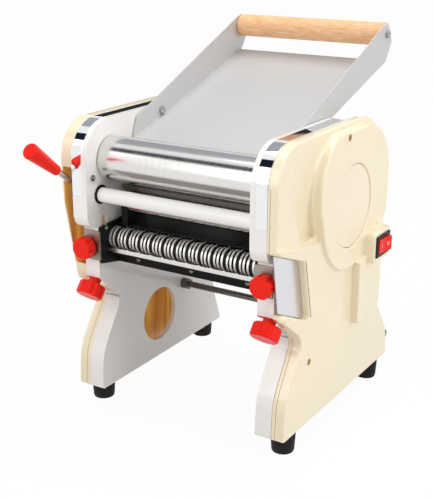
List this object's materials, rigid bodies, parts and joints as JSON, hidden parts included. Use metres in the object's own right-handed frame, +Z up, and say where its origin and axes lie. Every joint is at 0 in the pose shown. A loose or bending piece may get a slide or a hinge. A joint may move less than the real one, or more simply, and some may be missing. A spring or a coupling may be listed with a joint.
{
  "type": "pasta roller machine",
  "caption": "Motor-driven tabletop pasta machine: press rollers with a gap lever, a noodle cutter below, a steel feed tray with a wooden handle above, between two cream-covered side frames",
  "frame": {"origin": "middle of the bounding box in X and Y, on the plane that the feet stand on", "axes": "+X to the machine's right-hand side with the switch as seen from the front, +Y to the back where the tray rises, +Z up"},
  "size_m": [0.2962, 0.3886, 0.4198],
  "materials": {
    "frame_white": "gloss",
    "chrome": "polished",
    "cover_cream": "gloss",
    "steel": "brushed",
    "roller_steel": "polished",
    "rod_white": "satin",
    "knob_red": "gloss",
    "black_metal": "satin",
    "black_plastic": "matte",
    "foot_rubber": "matte",
    "beech": "satin",
    "gear_steel": "machined",
    "bush_bronze": "machined",
    "motor_paint": "satin"
  },
  "bodies": {
    "machine_frame": {"left_side_frame": "frame_white", "right_side_frame": "frame_white", "left_chrome_band": "chrome", "right_chrome_band": "chrome", "left_cover": "cover_cream", "right_cover": "cover_cream", "drum_cap": "cover_cream", "cutter_access_plate": "steel", "rubber_feet": "foot_rubber", "foot_screws": "steel", "lower_tie_rod": "steel", "tray_rest_rod": "steel", "tie_rod_collars": "steel", "tie_rod_screws": "steel", "cover_screws": "steel", "head_screws": "steel", "motor": "motor_paint", "roller_bushes": "bush_bronze", "gear_studs": "gear_steel", "guide_rod_rings": "black_plastic", "cutter_end_plates": "black_metal", "cutter_hook_pin": "steel", "cutter_clamp_brackets": "steel", "cutter_upper_comb": "black_metal", "cutter_lower_comb": "steel", "cutter_angle_bar": "black_metal", "angle_bar_screws": "steel", "feed_roller_blocks": "black_plastic", "tray_pivot_screws": "steel", "switch_bezel": "black_plastic", "cable_gland": "black_plastic"},
    "front_roller": {"front_press_roller": "roller_steel", "front_roller_gear": "gear_steel", "roller_drive_gear": "gear_steel"},
    "rear_carriage": {"rear_bearing_blocks": "bush_bronze"},
    "rear_roller": {"rear_press_roller": "roller_steel", "rear_roller_gear": "gear_steel"},
    "gap_lever": {"gap_shaft": "steel", "gap_cams": "steel", "lever_arm": "steel", "lever_grip": "knob_red"},
    "idler": {"idler_gear": "gear_steel"},
    "motor_output": {"motor_shaft": "steel", "motor_gear": "gear_steel"},
    "cutter_idler": {"cutter_idler_gear": "gear_steel"},
    "guide_rod": {"guide_rod": "rod_white"},
    "front_cutter": {"front_cutter_roller": "steel", "front_cutter_gear": "gear_steel"},
    "rear_cutter": {"rear_cutter_roller": "steel", "rear_cutter_gear": "gear_steel", "cutter_drive_gear": "gear_steel"},
    "feed_roller": {"feed_roller": "roller_steel"},
    "upper_left_knob": {"upper_left_knob": "knob_red"},
    "upper_right_knob": {"upper_right_knob": "knob_red"},
    "lower_left_knob": {"lower_left_knob": "knob_red"},
    "lower_right_knob": {"lower_right_knob": "knob_red"},
    "feed_tray": {"tray_sheet": "steel", "tray_handle": "beech", "tray_handle_screws": "steel"},
    "rocker": {"switch_rocker": "knob_red"}
  },
  "joints": [
    {"name": "front_roller_spin", "type": "hinge", "parent": "machine_frame", "child": "front_roller", "pos_m": [-0.01162, -0.09302, 0.2895], "axis": [1, 0, 0], "continuous": true},
    {"name": "gap_lever_turn", "type": "hinge", "parent": "machine_frame", "child": "gap_lever", "pos_m": [-0.01162, -0.02668, 0.23383], "axis": [1, 0, 0], "range_deg": [0, 45]},
    {"name": "carriage_slide", "type": "slide", "parent": "machine_frame", "child": "rear_carriage", "axis": [0, 0.766, -0.6428], "range_m": [0, 0.003]},
    {"name": "rear_roller_spin", "type": "hinge", "parent": "rear_carriage", "child": "rear_roller", "pos_m": [-0.01162, -0.05426, 0.25698], "axis": [1, 0, 0], "continuous": true},
    {"name": "idler_spin", "type": "hinge", "parent": "machine_frame", "child": "idler", "pos_m": [-0.01162, -0.03904, 0.29085], "axis": [1, 0, 0], "continuous": true},
    {"name": "motor_spin", "type": "hinge", "parent": "machine_frame", "child": "motor_output", "pos_m": [-0.01162, 0.01648, 0.245], "axis": [1, 0, 0], "continuous": true},
    {"name": "cutter_idler_spin", "type": "hinge", "parent": "machine_frame", "child": "cutter_idler", "pos_m": [-0.01162, -0.02746, 0.1931], "axis": [1, 0, 0], "continuous": true},
    {"name": "rear_cutter_spin", "type": "hinge", "parent": "machine_frame", "child": "rear_cutter", "pos_m": [-0.01162, -0.07107, 0.19893], "axis": [1, 0, 0], "continuous": true},
    {"name": "front_cutter_spin", "type": "hinge", "parent": "machine_frame", "child": "front_cutter", "pos_m": [-0.01162, -0.09352, 0.2005], "axis": [1, 0, 0], "continuous": true},
    {"name": "guide_rod_spin", "type": "hinge", "parent": "machine_frame", "child": "guide_rod", "pos_m": [-0.01162, -0.11302, 0.253], "axis": [1, 0, 0], "continuous": true},
    {"name": "feed_roller_spin", "type": "hinge", "parent": "machine_frame", "child": "feed_roller", "pos_m": [-0.01162, -0.08502, 0.238], "axis": [1, 0, 0], "continuous": true},
    {"name": "upper_left_knob_turn", "type": "hinge", "parent": "machine_frame", "child": "upper_left_knob", "pos_m": [-0.12312, -0.12192, 0.1947], "axis": [0, -1, 0], "continuous": true},
    {"name": "lower_left_knob_turn", "type": "hinge", "parent": "machine_frame", "child": "lower_left_knob", "pos_m": [-0.12312, -0.11406, 0.15246], "axis": [0, -0.6392, -0.769], "continuous": true},
    {"name": "upper_right_knob_turn", "type": "hinge", "parent": "machine_frame", "child": "upper_right_knob", "pos_m": [0.09988, -0.12192, 0.1947], "axis": [0, -1, 0], "continuous": true},
    {"name": "lower_right_knob_turn", "type": "hinge", "parent": "machine_frame", "child": "lower_right_knob", "pos_m": [0.09988, -0.11406, 0.15246], "axis": [0, -0.6392, -0.769], "continuous": true},
    {"name": "tray_lift", "type": "hinge", "parent": "machine_frame", "child": "feed_tray", "pos_m": [-0.01162, 0.00098, 0.3265], "axis": [1, 0, 0], "range_deg": [0, 20]},
    {"name": "rocker_tilt", "type": "hinge", "parent": "machine_frame", "child": "rocker", "pos_m": [0.14188, 0.06678, 0.1905], "axis": [0, 0, 1], "range_deg": [0, 16]}
  ],
  "couplings": [
    {"joint": "rear_roller_spin", "follows": "front_roller_spin", "ratio": -1},
    {"joint": "idler_spin", "follows": "front_roller_spin", "ratio": -0.8},
    {"joint": "motor_spin", "follows": "front_roller_spin", "ratio": 0.57143},
    {"joint": "cutter_idler_spin", "follows": "front_roller_spin", "ratio": -0.92308},
    {"joint": "rear_cutter_spin", "follows": "front_roller_spin", "ratio": 1.3333},
    {"joint": "front_cutter_spin", "follows": "front_roller_spin", "ratio": -1.3333},
    {"joint": "gap_lever_turn", "follows": "carriage_slide", "rad_per_m": 261.8}
  ]
}
